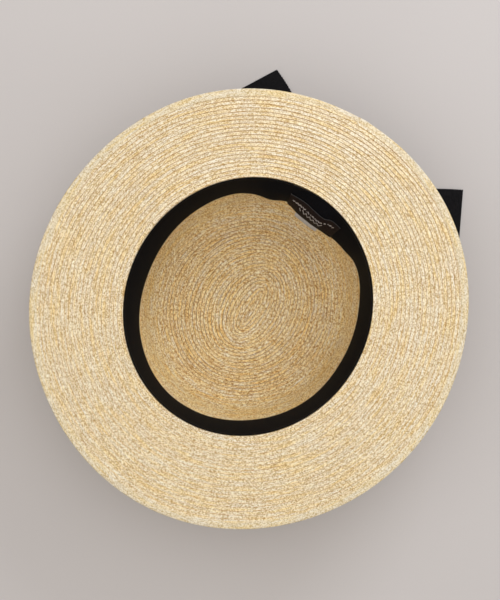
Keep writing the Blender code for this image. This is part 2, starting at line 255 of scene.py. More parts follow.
# Camera: straight above, with the back of the hat turned to the right of the picture's top
CAMERA_TURN = math.radians(33.0)
CAMERA_DISTANCE = 1060.0 * MM           # above the brim
CAMERA_LENS = 88.0
CAMERA_RIGHT = 1.44 * MM                # of the hat's middle
CAMERA_UP = 4.70 * MM

# Straw's pattern. Grain and streaks are coarser than real split straw, so that they show
LANE_WIDTH = 0.48 * MM                  # of the straws that show side by side in a row
STRAW_SHOWS = 2.4 * MM                  # of one straw's length, between two crossings
STRAW_SLANT = 0.2                       # of that length, across a lane, one way and the other
STRAW_RELIEF = 0.05 * MM
STRAW_END_POWER = 0.4                   # how bluntly a length's bump ends
STRAW_ROUGHNESS = (0.42, 0.62)
SPECK_LENGTH = 0.60 * MM
SPECK_OWN_SHARE = 0.15                  # how much a straw's own tone adds to its specks
SPECK_SPREAD = 0.87                     # brings the sum back to about 0 to 1
SPECK_RANGE = (0.20, 0.60)              # below it a speck has its full colour, above it none
STREAK_LENGTH = 20.0 * MM
STREAK_WIDTH = 2.0 * MM
STREAK_ROWS_APART = 4.1                 # steps of the noise, so that each row has its own streaks
PATCH_SIZE = 10.526 * MM
TONE_SHARES = {"streaks": 0.34, "patches": 0.10, "all": 0.28}       # all is the same everywhere
HUE_SPREAD = 0.05                       # to both sides, from straw to straw
STRAW_HUES = ((0.32, "#fafaf9"), (0.50, "#fdfaf0"), (0.68, "#fff3ce"))

# Lines between the rows: painted shade in the notch between them, with a painted warm bounce beside it
SHADE_LINE_FROM = 0.02                        # share of a row's width from its edge, at full strength
BOUNCE_MARGIN_WIDTH = 0.16                     # share of a row's width from its edge, where it has faded
# painted shade in the notch between rows, over the joint's own darker tone
SHADE_LINE_COLOUR = "#84501c"
# painted warm bounce light on the straw beside that notch
BOUNCE_MARGIN_COLOUR = "#f0bc78"
SHADE_FADE_LENGTH = 12.5 * MM                 # over which a line comes and goes
SHADE_FADE_ROWS_APART = 6.7
SHADE_FADE_RANGE = (0.38, 0.64)
SHADE_LINE_LEAST = 0.2                        # share that shows where the painted shade line fades
SHADE_BACK_FROM = -40.0 * MM                 # from the hat's axis towards its back, where the key light comes from and the painted shade is strongest
SHADE_BACK_TO = 120.0 * MM

# Weaves
WARP_PITCH = 0.3 * MM
WARP_SHARE = 0.15                       # of the ribs' relief
RIB_BREAK = 0.9                         # steps of the noise for each rib
WARP_BREAK = 2.5 * MM                   # over which the threads' tone changes across the ribbon
RIB_TONE_SHARES = (0.35, 0.75, 0.08)    # of the rib's crown, the threads and the warp
RIB_TONE_RANGE = (0.35, 0.95)
RIBBON_SPECULAR = 0.03
ROUGHNESS_SPREAD = 0.08
LABEL_THREAD = 0.36 * MM
CARE_THREAD = 0.24 * MM
GROUND_DRIFT = (2.0 * MM, 0.6667 * MM)  # along and across the label
GROUND_TONE_SHARES = (0.12, 1.00, 0.06)     # of the twill, the drift and the picks
GROUND_RELIEF = 0.04 * MM
LABEL_WEAR = 0.909 * MM
MARK_WEAR = {1: 0.36, 2: 0.60, 3: 0.45, 4: 0.95}    # a noise's range, and what is left at its ends
FOLD_WEAR = {1: 0.3, 2: 0.7, 3: 0.35, 4: 0.9}

# Floor and light
FLOOR_HALF = 9.0
BOARD_DRIFT = 333.3 * MM
BOARD_STIPPLE = 1.111 * MM
BOARD_STIPPLE_SHARE = 0.3
BOARD_RELIEF = 0.05 * MM
DOME = {"power": 3.0, "horizon": 0.36, "zenith": 1.83}      # its strength, and how it grows


def oval(length, width, turn, angles):
    """Radius of an ellipse at each angle: its length lies along Y, turned by turn."""
    half_length, half_width = length / 2, width / 2
    return half_length * half_width / np.hypot(half_length * np.cos(angles - turn),
                                               half_width * np.sin(angles - turn))


def head_radius(angles):
    """Radius of the head line, an ellipse."""
    return oval(HEAD_LENGTH, HEAD_WIDTH, HEAD_TURN, angles)


def side_inset(height):
    """How much nearer the axis the crown's wall is at a height than at the head line."""
    lean = CROWN_TAPER * np.clip(1 - height / SIDE_TOP, 0, 1) ** CROWN_TAPER_POWER
    into_corner = np.clip(CROWN_CORNER - height, 0, CROWN_CORNER)
    return lean + CROWN_CORNER - np.sqrt(CROWN_CORNER ** 2 - into_corner ** 2)


def at(radius, angles, height):
    """Points at a radius, an angle and a height, as an array that ends in x, y, z."""
    radius, angles, height = np.broadcast_arrays(radius, angles, height)
    return np.stack((radius * np.cos(angles), radius * np.sin(angles), height), axis=-1)


def round_angles(count):
    """Angles of a closed ring, evenly spaced."""
    return np.linspace(0.0, 2 * math.pi, count, endpoint=False)


def column(rows, name):
    """One column of a table."""
    return np.array([row[name] for row in rows])


def round_table(rows, angles):
    """Share at each angle, on a smooth closed curve through a table's rows.

    Between two rows it is a cubic, and its slope at a row is that between the row's neighbours.
    """
    knots, shares = np.radians(column(rows, "angle_deg")), column(rows, "share")
    full_turn = 2.0 * math.pi
    gaps = np.mod(np.roll(knots, -1) - knots, full_turn)
    slopes = (np.roll(shares, -1) - np.roll(shares, 1)) / (gaps + np.roll(gaps, 1))
    start = np.mod(angles - knots[0], full_turn)
    first = np.searchsorted(knots - knots[0], start, side="right") - 1
    after = np.mod(first + 1, len(knots))
    t = (start - (knots[first] - knots[0])) / gaps[first]
    rise = slopes[first] * gaps[first] * (t - 1) ** 2 * t
    rise = rise + slopes[after] * gaps[first] * (t - 1) * t ** 2
    return shares[first] * (1 + 2 * t) * (1 - t) ** 2 + shares[after] * t ** 2 * (3 - 2 * t) + rise


def stray(turns, share, waves, seed):
    """A slow wander of up to a share to both sides along something wound.

    It is a sum of sines of the turns so far, and the faster ones are smaller.
    """
    dice = np.random.default_rng(seed)
    pace = dice.uniform(*STRAY_PACE, waves)
    phase = dice.uniform(0.0, 2 * math.pi, waves)
    size = 1 / np.sqrt(pace)
    waved = np.sin(2 * math.pi * pace * turns[..., None] + phase) * size
    return share * (waved.sum(axis=-1) / size.sum())


def lengths_so_far(steps):
    """Length of a line up to each of its points, from the lengths of its steps."""
    return np.concatenate(((0.0,), np.cumsum(steps)))


def squared_off(waves, power):
    """Sines or cosines to a power under 1, sign kept, which makes a circle's sides flatter."""
    return np.sign(waves) * np.abs(waves) ** power


def grid_normals(points):
    """Unit normals of a grid, along (next row) x (next column)."""
    normals = np.cross(np.gradient(points, axis=0), np.gradient(points, axis=1))
    return normals / np.linalg.norm(normals, axis=-1, keepdims=True)


def cells(lower, upper):
    """Values at the four corners of each cell between the lower and the upper lines of a grid."""
    return np.stack((lower[:, :-1], upper[:, :-1], upper[:, 1:], lower[:, 1:]), axis=2)


def corners(grid):
    """Values at the four corners of each cell of a grid."""
    return cells(grid[:-1], grid[1:])


def piece(name, points, faces, places, material):
    """A mesh of four-cornered faces that rides with the hat.

    places holds, for each corner of a face, where it lies on the unrolled braid or ribbon.
    """
    mesh = bpy.data.meshes.new(name)
    mesh.vertices.add(len(points))
    mesh.vertices.foreach_set("co", points.astype(np.float32).ravel())
    mesh.loops.add(faces.size)
    mesh.loops.foreach_set("vertex_index", faces.astype(np.int32).ravel())
    mesh.polygons.add(len(faces))
    mesh.polygons.foreach_set("loop_start", np.arange(0, faces.size, 4, dtype=np.int32))
    mesh.update(calc_edges=True)
    unrolled = mesh.attributes.new("unrolled", "FLOAT_VECTOR", "CORNER")
    unrolled.data.foreach_set("vector", places.astype(np.float32).ravel())
    welded = bmesh.new()
    welded.from_mesh(mesh)
    bmesh.ops.remove_doubles(welded, verts=welded.verts, dist=WELD)
    welded.to_mesh(mesh)
    welded.free()
    mesh.materials.append(material)
    mesh.shade_smooth()
    mesh.set_sharp_from_angle(angle=SHARP_ANGLE)
    made = bpy.data.objects.new(name, mesh)
    bpy.context.scene.collection.objects.link(made)
    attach(made, "root")
    return made


def wound_braid(name, rows, columns, place, first_row, rims, material):
    """A braid wound in rows that overlap like slats, as a shell.

    The edge between two rows lies at row number row - 1 + turn, where turn goes from 0 to 1
    round the hat, so a row runs on into the next. The first row grows from nothing and the
    last one shrinks to nothing, which leaves both ends of the shell closed curves. place
    gives the middle of the wall and its normal at row numbers and angles, and rims says
    which of the two ends are closed with a rim: 0 for the first, -1 for the last.
    """
    across, lifts = np.append(column(ROW_LINES, "across"), 1.0), column(ROW_LINES, "lift")
    lines = len(ROW_LINES)
    row, line = np.divmod(np.arange(lines * (rows + 1) + 1), lines)
    turn = np.arange(columns) / columns
    angles = 2 * math.pi * turn + START_TURN
    turns = np.arange(rows + 3)[:, None] - 1 + turn
    edges = np.clip(turns + stray(turns, **ROW_STRAYS), 0, rows)
    widths = edges[1:] - edges[:-1]
    numbers = edges[row] + across[line][:, None] * widths[row]
    middle, normal = place(numbers, angles)
    loose = 1 + stray(turns[row], **ROW_RISES) + ROW_LOOSE * np.cos(angles - ROW_LOOSE_AT)
    lift = ROW_STEP * lifts[line][:, None] * np.minimum(widths[row], 1) * loose
    inner = middle + (lift + BRAID_WALL / 2)[..., None] * normal
    outer = middle + (lift - BRAID_WALL / 2)[..., None] * normal

    count = row.size * columns
    index = np.arange(count).reshape(row.size, columns)
    next_row = index[np.minimum(np.arange(row.size) + lines, row.size - 1), :1]
    index = np.concatenate((index, next_row), axis=1)
    edge_points = np.concatenate((middle[::lines], middle[-1:]))
    edge_points = np.concatenate((edge_points[:-1], edge_points[1:, :1]), axis=1)
    total = lengths_so_far(np.linalg.norm(np.diff(edge_points, axis=1), axis=-1))
    along = total[np.arange(rows + 1)[:, None] * columns + np.arange(columns + 1)]
    row_widths = np.linalg.norm(edge_points[1:] - edge_points[:-1], axis=-1)

    face_row, face_line = row[:-1], line[:-1]
    lower, upper = (
        np.stack(np.broadcast_arrays(along[face_row], share[:, None] * row_widths[face_row],
                                     (first_row + face_row + share)[:, None]), axis=-1)
        for share in (across[face_line], across[face_line + 1])
    )
    faces = corners(index).reshape(-1, 4)
    places = cells(lower, upper).reshape(-1, 4, 3)
    all_faces = [faces, faces[:, ::-1] + count]
    all_places = [places, places[:, ::-1]]
    for rim in rims:
        way = 1 if rim else -1
        at_rim = upper[-1] if rim else lower[0]
        all_faces.append(corners(np.stack((index[rim], index[rim] + count))).reshape(-1, 4)[:, ::way])
        all_places.append(corners(np.stack((at_rim, at_rim))).reshape(-1, 4, 3)[:, ::way])
    points = np.concatenate((inner.reshape(-1, 3), outer.reshape(-1, 3)))
    return piece(name, points, np.concatenate(all_faces), np.concatenate(all_places), material)


def crown_wall(numbers, angles):
    """Middle of the crown's wall and its normal into the hollow.

    Over the tip a point lies on the straight line from the braid's first length to the rim of
    the tip. Past the rim it climbs the corner and the side, row by row of the same girth.
    """
    corner = CROWN_CORNER * (1 - np.cos(np.linspace(0.0, math.pi / 2, CROWN_PROFILE)))
    heights = np.concatenate((corner, np.linspace(CROWN_CORNER, SIDE_TOP, CROWN_PROFILE)[1:]))
    insets = side_inset(heights)
    girth = lengths_so_far(np.hypot(np.diff(heights), np.diff(insets)))
    climb, lean = np.gradient(heights, girth), np.gradient(insets, girth)
    climb[0], lean[0] = 0.0, -1.0
    climbed = np.clip(numbers - TIP_ROWS, 0, None) * girth[-1] / SIDE_ROWS
    radius = head_radius(angles) + STRAW_WALL - np.interp(climbed, girth, insets)
    side = at(radius, angles, np.interp(climbed, girth, heights))
    share = np.clip(numbers / TIP_ROWS, 0, 1)[..., None]
    start_way = (math.cos(START_TURN), math.sin(START_TURN), 0.0)
    first_length = START_HALF * np.cos(angles - START_TURN)[..., None] * start_way
    outside = side * share + (first_length + START_MIDDLE) * (1 - share)
    normal = at(-np.interp(climbed, girth, climb), angles, -np.interp(climbed, girth, lean))
    normal /= np.linalg.norm(normal, axis=-1, keepdims=True)
    return outside + (STRAW_WALL / 2 + TIP_RISE) * normal, normal


def brim_edge(angles):
    """The brim's edge, an ellipse with a few soft lobes, and how high its waves lift it."""
    wave = sum(lobe["share"] * np.cos(lobe["lobes"] * (angles - math.radians(lobe["peak_deg"])))
               for lobe in BRIM_WAVES)
    radius = oval(BRIM_LENGTH, BRIM_WIDTH, BRIM_TURN, angles) + BRIM_EDGE_WAVE * wave
    edge = at(radius, angles, 0.0)
    edge += (BRIM_SHIFT_SIDE, -BRIM_SHIFT_FRONT, 0.0)
    return edge, BRIM_LIFT_WAVE * wave


def brim_wall(numbers, angles):
    """Middle of the brim's wall and its normal: rows even from the head line to the last row."""
    edge, lift = brim_edge(angles)
    head = at(head_radius(angles), angles, 0.0)
    width = np.linalg.norm(edge - head, axis=-1)
    share = numbers / BRIM_ROWS * (1 - EDGE_COVERED / width)
    middle = head + share[..., None] * (edge - head)
    middle[..., 2] = HAT_HEIGHT - STRAW_WALL / 2 + lift * share ** 2
    return middle, np.broadcast_to((0.0, 0.0, 1.0), middle.shape)


def make_edge_row(material):
    """The last row of braid: a rounded flat section carried round the edge of the brim.

    Its rim is scalloped by the straws' turns, as a sine without its sign. It stands out a
    little, as a bell curve, where the row's end is laid over its start.
    """
    section, angles = round_angles(EDGE_SECTION), round_angles(EDGE_COLUMNS)
    edge, lift = brim_edge(angles)
    head = at(head_radius(angles), angles, 0.0)
    outwards = edge - head
    outwards /= np.linalg.norm(outwards, axis=-1, keepdims=True)
    along = lengths_so_far(np.linalg.norm(np.roll(edge, -1, axis=0) - edge, axis=-1))
    stitches = round(along[-1] / EDGE_STITCH)
    scallop = EDGE_SCALLOP * np.abs(np.sin(math.pi * stitches * along[:-1] / along[-1]))
    lap = EDGE_LAP * np.exp(-((angles - EDGE_LAP_AT) / EDGE_LAP_EASE) ** 2)
    side = squared_off(np.cos(section), EDGE_SIDE_POWER)[:, None]
    rise = squared_off(np.sin(section), EDGE_RISE_POWER)[:, None]
    out = (side - 1) * EDGE_WIDTH / 2 + (scallop + lap) * (side > EDGE_RIM_FROM)
    lean = ROW_STEP * (EDGE_LEAN["level_at"] - side) * EDGE_LEAN["share"]
    points = edge + out[..., None] * outwards
    points[..., 2] = HAT_HEIGHT - STRAW_WALL / 2 + lift + lean + rise * EDGE_WALL / 2
    index = np.arange(points[..., 0].size).reshape(EDGE_SECTION, EDGE_COLUMNS)
    index = np.concatenate((index, index[:1]))
    index = np.concatenate((index, index[:, :1]), axis=1)
    across = np.concatenate((side, side[:1])) + 1
    row = EDGE_ROW["number"] + EDGE_ROW["share"] / 2 * across
    places = np.stack(np.broadcast_arrays(along, across * EDGE_WIDTH / 2, row), axis=-1)
    return piece("brim_edge_braid", points.reshape(-1, 3), corners(index).reshape(-1, 4)[:, ::-1],
                 corners(places).reshape(-1, 4, 3)[:, ::-1], material)


def cloth(name, points, thickness, material, ring=False):
    """A sheet of ribbon or label cloth on a grid of points, its thickness built to both sides.

    A ring's last column is joined to its first.
    """
    rows, columns = points.shape[:2]
    index = np.arange(rows * columns).reshape(rows, columns)
    closed = points
    if ring:
        index = np.concatenate((index, index[:, :1]), axis=1)
        closed = np.concatenate((points, points[:, :1]), axis=1)
    middle_row, middle_column = closed[rows // 2], closed[:, columns // 2]
    along = lengths_so_far(np.linalg.norm(np.diff(middle_row, axis=0), axis=-1))
    across = lengths_so_far(np.linalg.norm(np.diff(middle_column, axis=0), axis=-1))
    places = np.stack(np.broadcast_arrays(along, across[:, None], 0.0), axis=-1)
    made = piece(name, points.reshape(-1, 3), corners(index).reshape(-1, 4),
                 corners(places).reshape(-1, 4, 3), material)
    solid = made.modifiers.new("thickness", "SOLIDIFY")
    solid.thickness = thickness
    solid.offset = 0.0
    return made


def sweatband_sheet(angles, shares, inwards):
    """The sweatband, inwards of its face towards the straw, from the deepest share up.

    Below its seam it leaves the straw as 1 - (1 - depth) to a power, so its free edge hangs
    steeply. At its end it steps out by the ribbon that it lies on, and eases back from there.
    """
    shares = shares[:, None]
    heights = HAT_HEIGHT - SWEATBAND_DEPTH * shares
    loose = np.clip((shares - SWEATBAND_SEAM) / (1 - SWEATBAND_SEAM), 0, None)
    leaves = 1 - (1 - loose) ** round_table(SWEATBAND_ROUNDNESS, angles)
    stand_off = SWEATBAND_STAND_OFF * round_table(SWEATBAND_WAVES, angles) * leaves
    before_end = np.mod(SWEATBAND_LAP_AT - angles, 2 * math.pi)
    stand_off = stand_off + SWEATBAND_LAP * np.clip(1 - before_end / SWEATBAND_LAP_EASE, 0, None)
    return at(head_radius(angles) - side_inset(heights) - GAP - stand_off - inwards, angles, heights)


def label_angles(middle, length, facets, share):
    """Angles of the columns of a label of this length that lies at this depth of the sweatband."""
    x, y, _ = sweatband_sheet(np.array([middle]), np.array([share]), SWEATBAND_WALL)[0, 0]
    half = length / 2 / math.hypot(x, y)
    return np.linspace(middle - half, middle + half, facets + 1)


def make_care_label(material):
    """Strip that hangs behind the sweatband and swings in under its free edge.

    Its fall and its swing follow a short table, and its upper part is straight.
    """
    angles = label_angles(CARE_ANGLE, CARE_LENGTH, CARE_COLUMNS, 1.0)
    hidden_shares = np.array((1.0, 1 - CARE_HIDDEN / SWEATBAND_DEPTH))
    behind = sweatband_sheet(angles, hidden_shares, -GAP - LABEL_WALL / 2)
    front = sweatband_sheet(angles, np.array((1.0,)), SWEATBAND_WALL + GAP + LABEL_WALL / 2)[0]
    behind_radius = np.hypot(behind[0, :, 0], behind[0, :, 1])
    swing = behind_radius - (np.hypot(front[:, 0], front[:, 1]) - CARE_PEEK)
    drops = np.linspace(1.0, 0.0, CARE_FREE_ROWS)
    swings = np.interp(drops, column(CARE_BEND[::-1], "drop"), column(CARE_BEND[::-1], "swing"))
    free_radius = behind_radius - swings[:, None] * swing
    free = at(free_radius, angles, behind[0, :, 2] - drops[:, None] * CARE_DROP)
    up = np.linspace(1 / CARE_HIDDEN_ROWS, 1.0, CARE_HIDDEN_ROWS)[:, None, None]
    hidden = behind[0] + up * (behind[1] - behind[0])
    return cloth("care_label_cloth", np.concatenate((free, hidden)), LABEL_CLOTH, material)


def ribbon_face(angles, heights):
    """Radius of the outer face of the ribbon that lies round the crown."""
    return head_radius(angles) + STRAW_WALL - side_inset(heights) + GAP + RIBBON_WALL


def tail_start_height():
    """Height where the tails leave the knot, a little above its lower edge."""
    return BOW_HEIGHT - KNOT_HEIGHT / 2 + TAIL_TUCK


def bow_back():
    """Y of the knot's back, which meets the slanting ribbon at its top."""
    back = np.array(math.pi / 2)
    at_top = ribbon_face(back, BOW_HEIGHT + KNOT_HEIGHT / 2) + GAP
    at_tails = ribbon_face(back, tail_start_height() + TAIL_PINCH / 2) + RIBBON_WALL + 2 * GAP
    return float(max(at_top, at_tails))


def make_bow_knot(material):
    """Ribbon wrapped round the loops: a rounded rectangle carried along X, with soft folds."""
    turns = round_angles(KNOT_COLUMNS)
    power = 2 / KNOT_ROUNDNESS
    share = np.linspace(-1.0, 1.0, KNOT_ROWS)[:, None]
    fold = RIBBON_WALL / 2 + KNOT_FOLD * (0.5 - 0.5 * np.cos(KNOT_FOLDS * math.pi * share))
    depth = squared_off(np.cos(turns), power) * (KNOT_DEPTH / 2 - fold)
    rise = squared_off(np.sin(turns), power) * (KNOT_HEIGHT / 2 - fold)
    points = np.stack(np.broadcast_arrays(share * KNOT_WIDTH / 2, bow_back() + KNOT_DEPTH / 2 + depth,
                                          BOW_HEIGHT + rise), axis=-1)
    return cloth("bow_knot_ribbon", points[::-1], RIBBON_CLOTH, material, ring=True)


def make_bow_loop(name, side, material):
    """Ribbon folded back on itself: out of the knot, round the loop's end and back in.

    Past the knot the two layers part along a quarter sine and close in a quarter ellipse. The
    gathers are a cosine across the ribbon that dies away along the loop.
    """
    inside = np.linspace(GAP, KNOT_WIDTH / 2, LOOP_STEPS["inside"])
    parting = LOOP_ROUND_SHARE * np.linspace(1 / LOOP_STEPS["parting"], 1.0, LOOP_STEPS["parting"])
    quarter = np.linspace(LOOP_CLOSING_START, math.pi / 2, LOOP_STEPS["closing"])
    closing = LOOP_ROUND_SHARE + (1 - LOOP_ROUND_SHARE) * np.sin(quarter)
    beyond = np.concatenate((np.zeros_like(inside), parting, closing))
    outside = KNOT_WIDTH / 2 + np.concatenate((parting, closing)) * (LOOP_LENGTH - KNOT_WIDTH / 2)
    reach = np.concatenate((inside, outside))
    opened = np.sin(np.clip(beyond / LOOP_ROUND_SHARE, 0, 1) * math.pi / 2)
    closed = np.clip((beyond - LOOP_ROUND_SHARE) / (1 - LOOP_ROUND_SHARE), 0, 1)
    pinched = KNOT_DEPTH / 2 - RIBBON_WALL - GAP
    puff = pinched + (LOOP_PUFF / 2 - pinched) * opened
    half_depth = puff * np.sqrt(1 - closed ** 2)
    forward = bow_back() + KNOT_DEPTH / 2 + LOOP_FORWARD_SHARE * (puff - pinched)
    pinch = LOOP_PINCH_SHARE * (KNOT_HEIGHT - 2 * RIBBON_WALL)
    half_width = (pinch + (RIBBON_WIDTH - pinch) * opened) / 2
    across = side * np.concatenate((reach, reach[-2::-1]))
    depth = np.concatenate((forward - half_depth, (forward + half_depth)[-2::-1]))
    width = np.concatenate((half_width, half_width[-2::-1]))
    gathered = np.concatenate((1 - opened, (1 - opened)[-2::-1]))
    share = np.linspace(-1.0, 1.0, LOOP_ROWS)[:, None]
    held = np.minimum(1, (1 - gathered) * LOOP_FOLD_GAIN + LOOP_FOLD_START)
    fold = LOOP_FOLD * gathered * np.cos(LOOP_FOLDS * math.pi * share) * held
    height = BOW_HEIGHT + share * width
    points = np.stack(np.broadcast_arrays(across, depth + fold, height), axis=-1)
    if side > 0:
        points = points[:, ::-1]
    return cloth(name, points, RIBBON_CLOTH, material)


def tail_course(along, name):
    """A column of the tails' course at shares of a tail's length, rounded off at its knots.

    The straight lines of the table are averaged with a bell-shaped window.
    """
    shares = np.linspace(0.0, 1.0, TAIL_COURSE_POINTS)
    drawn = np.interp(shares, column(TAIL_COURSE, "along"), column(TAIL_COURSE, name))
    window = np.hanning(TAIL_COURSE_WINDOW)
    padded = np.pad(drawn, TAIL_COURSE_WINDOW // 2, mode="edge")
    soft = np.convolve(padded, window / window.sum(), mode="valid")
    return np.interp(along, shares, soft)


def tail_middle(along, spread, reach, turn):
    """Middle line of a tail: a curve of the fourth degree that five points pull."""
    start = np.array((GAP + TAIL_PINCH / 2, bow_back() - GAP - RIBBON_WALL, tail_start_height()))
    end = np.array((spread, reach, TAIL_GROUND_GAP))
    fall = (start[2] - end[2]) * np.array((1 / math.tan(TAIL_FALL), 0.0, -1.0))
    lie = TAIL_LIE * np.array((math.cos(turn), math.sin(turn), 0.0))
    pulls = (start, start + fall / 2, start + fall, end - lie, end)
    t = along[:, None]
    return sum(math.comb(4, power) * (1 - t) ** (4 - power) * t ** power * pull
               for power, pull in enumerate(pulls))


def make_ribbon_tail(name, tail, material):
    """Ribbon along a tail's middle line, upright at the knot and turned flat on the ground.

    Its edges are scalloped by the turns of the weft, and its end is cut at a slant.
    """
    along = np.linspace(0.0, 1.0, TAIL_COLUMNS)
    middle = tail_middle(along, tail["spread"], tail["reach"], math.radians(tail["turn_deg"]))
    heading = np.gradient(middle, axis=0)
    lying = (tail_course(along, "lie") * math.pi / 2)[:, None]
    upright, flat = np.cross(heading, (0, 1, 0)), np.cross(heading, (0, 0, 1))
    width_way = np.cos(lying) * upright + np.sin(lying) * flat
    width_way /= np.linalg.norm(width_way, axis=1, keepdims=True)
    steps = np.linalg.norm(heading, axis=1, keepdims=True)
    half_width = (TAIL_PINCH + (RIBBON_WIDTH - TAIL_PINCH) * tail_course(along, "width")) / 2
    selvage = np.sin(math.pi * np.cumsum(steps) / TAIL_SELVAGE)
    half_width = half_width + TAIL_SCALLOP * (np.abs(selvage) - 1)
    share = np.linspace(-1.0, 1.0, TAIL_ROWS)[:, None, None]
    slanted = width_way + tail["slant"] * along[:, None] ** TAIL_SLANT_POWER * heading / steps
    points = middle + share * half_width[:, None] * slanted
    normals = grid_normals(points)
    if normals[0, -1, 2] < 0:
        normals = -normals
    points = points + RIBBON_WALL / 2 * normals
    points[..., 0] *= tail["side"]
    if tail["side"] > 0:
        points = points[:, ::-1]
    return cloth(name, points, RIBBON_CLOTH, material)


def linear(hex_colour):
    """An sRGB hex colour as linear red, green, blue and alpha, by the sRGB standard's curve."""
    channels = np.array([int(hex_colour[i:i + 2], 16) for i in (1, 3, 5)]) / 255
    light = np.where(channels <= 0.04045, channels / 12.92, ((channels + 0.055) / 1.055) ** 2.4)
    return (*light, 1.0)


def feed(tree, made, inputs):
    """Gives the sockets of a node their values or links."""
    for socket, value in dict(inputs).items():
        if isinstance(value, bpy.types.NodeSocket):
            tree.links.new(value, made.inputs[socket])
        else:
            made.inputs[socket].default_value = value


def node(tree, kind, inputs=(), output=0, stops=(), **settings):
    """Adds a node with its settings and, by socket, its values or links; gives one of its outputs."""
    made = tree.nodes.new("ShaderNode" + kind)
    for name, value in settings.items():
        setattr(made, name, value)
    for position, colour in stops:
        stop = made.color_ramp.elements.new(position)
        stop.color = linear(colour)
    if stops:
        made.color_ramp.elements.remove(made.color_ramp.elements[-1])
        made.color_ramp.elements.remove(made.color_ramp.elements[0])
    feed(tree, made, inputs)
    return made.outputs[output]


def unrolled_place(tree):
    """Place on the unrolled braid or cloth, and its parts: along it, across it and the row."""
    place = node(tree, "Attribute", output=1, attribute_name="unrolled")
    return place, *node(tree, "SeparateXYZ", {0: place}).node.outputs


def noise_over(tree, *ways, detail=2.0, output=0):
    """Noise over up to three values, each with its pace in steps of the noise."""
    steps = [node(tree, "Math", {0: value, 1: pace}, operation="MULTIPLY") for value, pace in ways]
    place = node(tree, "CombineXYZ", enumerate(steps))
    return node(tree, "TexNoise", {"Scale": 1.0, "Detail": detail, "Vector": place}, output=output)


def ripples(tree, value, pace):
    """Sine of a value times a pace."""
    angle = node(tree, "Math", {0: value, 1: pace}, operation="MULTIPLY")
    return node(tree, "Math", {0: angle}, operation="SINE")


def sum_of_shares(tree, values, shares):
    """Sum of three values, each times its share."""
    values = node(tree, "CombineXYZ", enumerate(values))
    return node(tree, "VectorMath", {0: values, 1: shares}, output=1, operation="DOT_PRODUCT")


def new_material(name):
    """A material with its node tree and its shader."""
    made = bpy.data.materials.new(name)
    made.use_nodes = True
    return made, made.node_tree, made.node_tree.nodes["Principled BSDF"]


